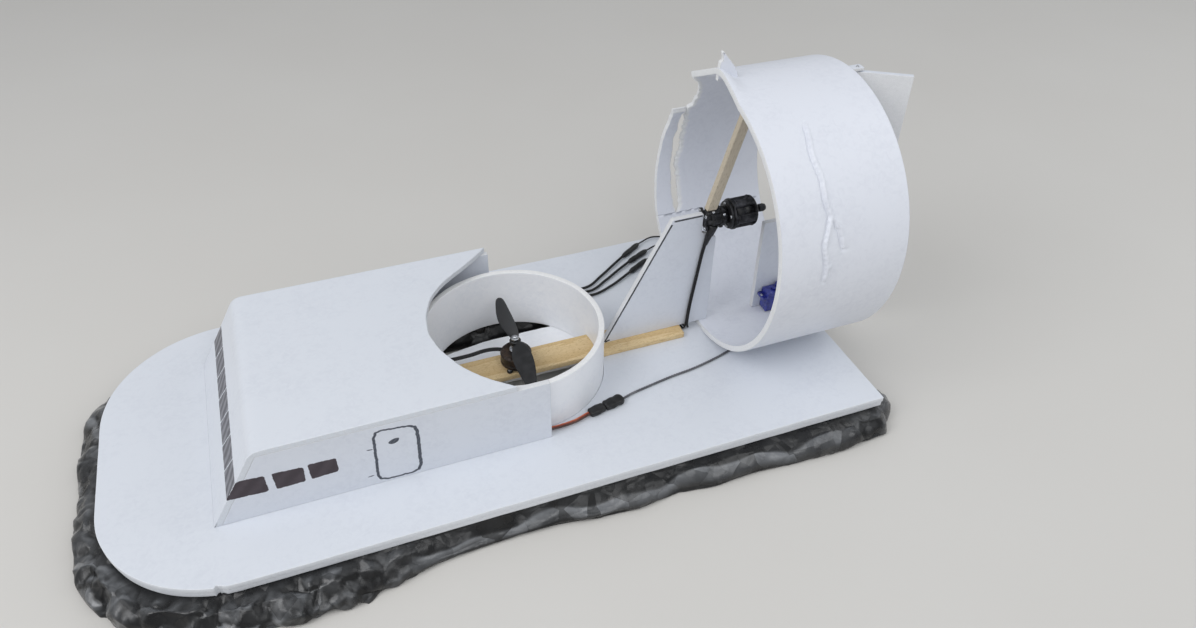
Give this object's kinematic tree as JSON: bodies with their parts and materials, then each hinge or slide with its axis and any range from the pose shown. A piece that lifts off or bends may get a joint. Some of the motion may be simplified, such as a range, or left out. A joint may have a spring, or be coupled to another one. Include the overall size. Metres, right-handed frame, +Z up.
{
  "type": "radio-controlled hovercraft",
  "caption": "Home-built foam-board model hovercraft on a slack film skirt, with a lift fan in a tube, a cabin, and a torn thrust duct with motor, fin and servo-driven rudder.",
  "frame": {"origin": "on the floor, under the centre of the whole craft's bounding box, spread skirt included", "axes": "+X forward to the bow, +Y to port, +Z up"},
  "size_m": [0.7232, 0.335, 0.2986],
  "materials": {
    "foam_board": "smooth white laminated foam board",
    "foam_duct": "smooth white foam board rolled into a tube",
    "skirt_film": "crumpled black film with a dull shine",
    "batten_wood": "bare light softwood",
    "mast_wood": "bare wood, weathered",
    "black_plastic": "satin moulded",
    "motor_can": "black anodised, satin",
    "propeller": "moulded black",
    "steel": "plain drawn wire",
    "servo_case": "translucent blue moulded",
    "white_plastic": "moulded white nylon",
    "lead_black": "silicone wire and heat-shrink sleeve",
    "lead_servo": "flat lead of brown, red and orange wires",
    "lead_grey": "thin grey wire",
    "battery_pack": "plain wrapped pack"
  },
  "bodies": {
    "hull": {"deck_upper": "foam_board", "deck_lower": "foam_board", "skirt": "skirt_film", "cabin_cover": "foam_board", "cabin_side_port": "foam_board", "cabin_side_starboard": "foam_board", "battery": "battery_pack", "lift_duct": "foam_board", "opening_strip": "foam_board", "centre_batten": "batten_wood", "lift_motor_base": "black_plastic", "thrust_duct": "foam_duct", "duct_tab": "foam_board", "pylon": "foam_board", "motor_mount": "black_plastic", "mast": "mast_wood", "fin": "foam_board", "hinge_plate_top": "foam_board", "hinge_plate_bottom": "foam_board", "hinge_rod": "steel", "servo": "servo_case", "receiver_lead": "lead_servo", "lead_plug": "black_plastic", "lead_socket": "black_plastic", "servo_wire": "lead_grey", "esc_lead_a": "lead_black", "esc_lead_b": "lead_black", "esc_lead_c": "lead_black", "bullet_a": "lead_black", "bullet_b": "lead_black", "bullet_c": "lead_black", "motor_lead_a": "lead_black", "motor_lead_b": "lead_black", "motor_lead_c": "lead_black", "lift_motor_lead": "lead_black"},
    "lift_rotor": {"lift_motor_can": "motor_can", "lift_shaft": "steel", "lift_propeller": "propeller"},
    "thrust_rotor": {"thrust_motor_can": "motor_can", "prop_adapter": "black_plastic"},
    "rudder": {"rudder": "foam_board", "rudder_horn": "white_plastic"},
    "servo_arm": {"servo_arm": "white_plastic"},
    "pushrod": {"pushrod": "steel"}
  },
  "joints": [
    {"name": "lift_fan_spin", "type": "hinge", "parent": "hull", "child": "lift_rotor", "pos_m": [-0.01336, -0.00172, 0.057], "axis": [0, 0, 1], "continuous": true},
    {"name": "thrust_motor_spin", "type": "hinge", "parent": "hull", "child": "thrust_rotor", "pos_m": [-0.22836, -0.00322, 0.15], "axis": [1, 0, 0], "continuous": true},
    {"name": "rudder_swing", "type": "hinge", "parent": "hull", "child": "rudder", "pos_m": [-0.32086, -0.00322, 0.1535], "axis": [0, 0, 1], "range_deg": [-3, 67]},
    {"name": "servo_arm_swing", "type": "hinge", "parent": "hull", "child": "servo_arm", "pos_m": [-0.27736, 0.00558, 0.0642], "axis": [0, 0, 1], "range_deg": [-3, 67]},
    {"name": "pushrod_eye", "type": "hinge", "parent": "servo_arm", "child": "pushrod", "pos_m": [-0.271, 0.01576, 0.0642], "axis": [0, 0, 1], "range_deg": [-67, 3]}
  ],
  "couplings": [
    {"joint": "servo_arm_swing", "follows": "rudder_swing", "ratio": 1},
    {"joint": "pushrod_eye", "follows": "rudder_swing", "ratio": -1}
  ]
}
